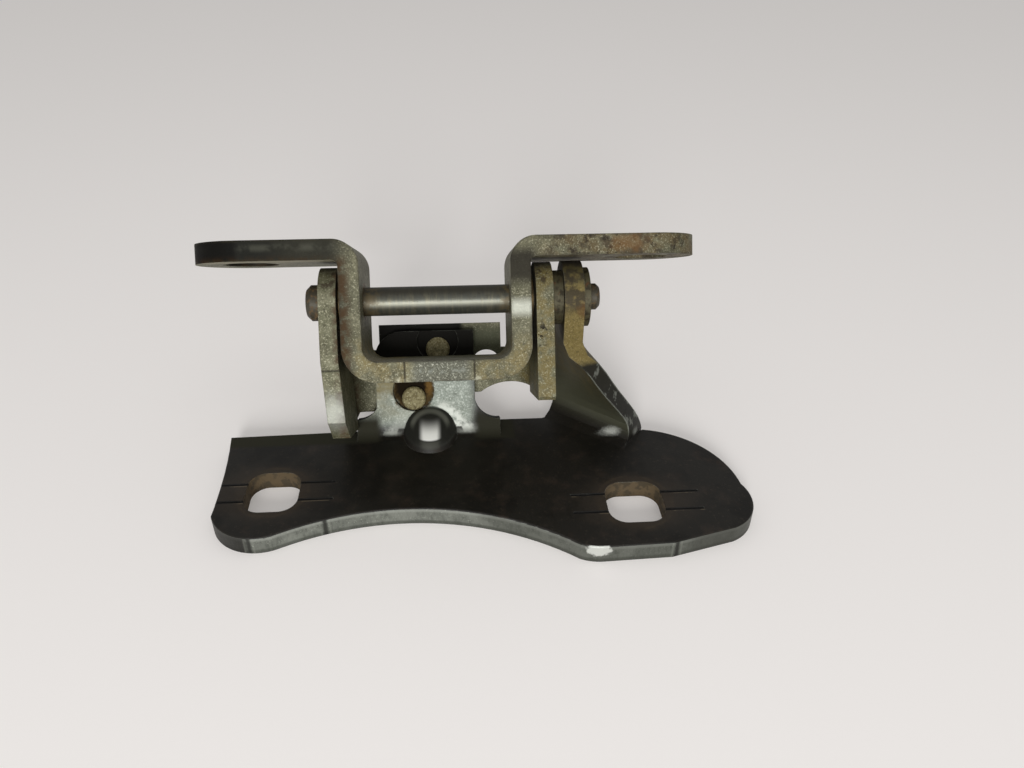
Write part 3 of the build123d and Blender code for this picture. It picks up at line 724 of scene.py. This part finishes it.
def lay_floor(colour, lift):
    """Pale floor, added as part of the stage."""
    bpy.ops.mesh.primitive_plane_add(size=FLOOR_SIZE)
    floor = bpy.context.object
    floor.name = "floor"
    material = bpy.data.materials.new("matt pale paper")
    material.use_nodes = True
    tree = material.node_tree
    tree.nodes.clear()
    # Uncoated white paper: matt, and lifted where it is seen, so that it stays pale without lighting
    # the hinge from below
    paper = add(tree, "ShaderNodeBsdfDiffuse", {"Color": linear(colour)})
    rays = add(tree, "ShaderNodeLightPath").outputs
    mirrored = add(tree, "ShaderNodeMath", {0: rays["Is Camera Ray"], 1: rays["Is Glossy Ray"]},
                   operation="MAXIMUM")
    seen = add(tree, "ShaderNodeMath", {0: mirrored.outputs[0], 1: rays["Is Transmission Ray"]},
               operation="MAXIMUM")
    lifted = add(tree, "ShaderNodeMath", {0: seen.outputs[0], 1: lift}, operation="MULTIPLY")
    glow = add(tree, "ShaderNodeEmission", {"Color": linear(colour), "Strength": lifted.outputs[0]})
    both = add(tree, "ShaderNodeAddShader", {0: paper.outputs[0], 1: glow.outputs[0]})
    add(tree, "ShaderNodeOutputMaterial", {0: both.outputs[0]})
    floor.data.materials.append(material)


def light_room(scene, settings):
    """Even light all round, a soft light in front and a weak one above."""
    world = bpy.data.worlds.new("even room light")
    scene.world = world
    world.use_nodes = True
    background = world.node_tree.nodes["Background"]
    background.inputs["Color"].default_value = (1, 1, 1, 1)
    background.inputs["Strength"].default_value = settings.ambient
    lamps = (
        ("front light", settings.key_power, (-0.08, -0.86, 0.33), 0.26),
        ("top light", settings.fill_power, (0.1, -0.3, 0.8), 0.5),
    )
    for name, power, spot, size in lamps:
        lamp = bpy.data.lights.new(name, "AREA")
        lamp.energy = power
        lamp.size = size
        thing = bpy.data.objects.new(name, lamp)
        aim = (Vector(LIT_POINT) - Vector(spot)).to_track_quat("-Z", "Y")
        thing.matrix_world = Matrix.Translation(spot) @ aim.to_matrix().to_4x4()
        scene.collection.objects.link(thing)


def place_camera(scene, lens):
    """Camera at the photograph's angle and distance."""
    camera = bpy.data.cameras.new("camera")
    camera.lens = lens
    camera.sensor_width = SENSOR_WIDTH
    camera.clip_start = 0.01
    eye = bpy.data.objects.new("camera", camera)
    turn = Matrix((CAMERA_RIGHT, CAMERA_UP, CAMERA_BACK)).transposed().to_4x4()
    eye.matrix_world = Matrix.Translation(CAMERA_PLACE) @ turn
    scene.collection.objects.link(eye)
    scene.camera = eye


class HINGE_OT_stage(bpy.types.Operator):
    """Sets a pale floor, soft lights and the camera at the photograph's angle."""
    bl_idname = "hinge.stage"
    bl_label = "Stage"

    def execute(self, context):
        scene = context.scene
        settings = scene.hinge_stage
        scene.view_settings.view_transform = "Standard"
        lay_floor(scene.hinge_colours.floor, settings.floor_lift)
        light_room(scene, settings)
        place_camera(scene, settings.lens)
        return {"FINISHED"}


class HINGE_PT_panel(bpy.types.Panel):
    """Lists the steps in the sidebar."""
    bl_label = "Car door hinge"
    bl_idname = "HINGE_PT_panel"
    bl_space_type = "VIEW_3D"
    bl_region_type = "UI"
    bl_category = "Hinge"

    def draw(self, context):
        for operator in OPERATORS:
            self.layout.operator(operator.bl_idname)
        for group in (context.scene.hinge_colours, context.scene.hinge_stage):
            for name in group.__annotations__:
                self.layout.prop(group, name)


OPERATORS = (
    HINGE_OT_bracket,
    HINGE_OT_strap,
    HINGE_OT_clevis,
    HINGE_OT_pin,
    HINGE_OT_fasteners,
    HINGE_OT_stage,
)
CLASSES = (HingeColours, HingeStage) + OPERATORS + (HINGE_PT_panel,)


def register():
    """Registers the classes and their settings."""
    for item in CLASSES:
        bpy.utils.register_class(item)
    bpy.types.Scene.hinge_colours = bpy.props.PointerProperty(type=HingeColours)
    bpy.types.Scene.hinge_stage = bpy.props.PointerProperty(type=HingeStage)


def unregister():
    """Takes the classes and their settings away."""
    del bpy.types.Scene.hinge_colours
    del bpy.types.Scene.hinge_stage
    for item in reversed(CLASSES):
        bpy.utils.unregister_class(item)


def main():
    """Registers and runs each step."""
    register()
    for operator in OPERATORS:
        group, name = operator.bl_idname.split(".")
        getattr(getattr(bpy.ops, group), name)()


if __name__ == "__main__":
    main()
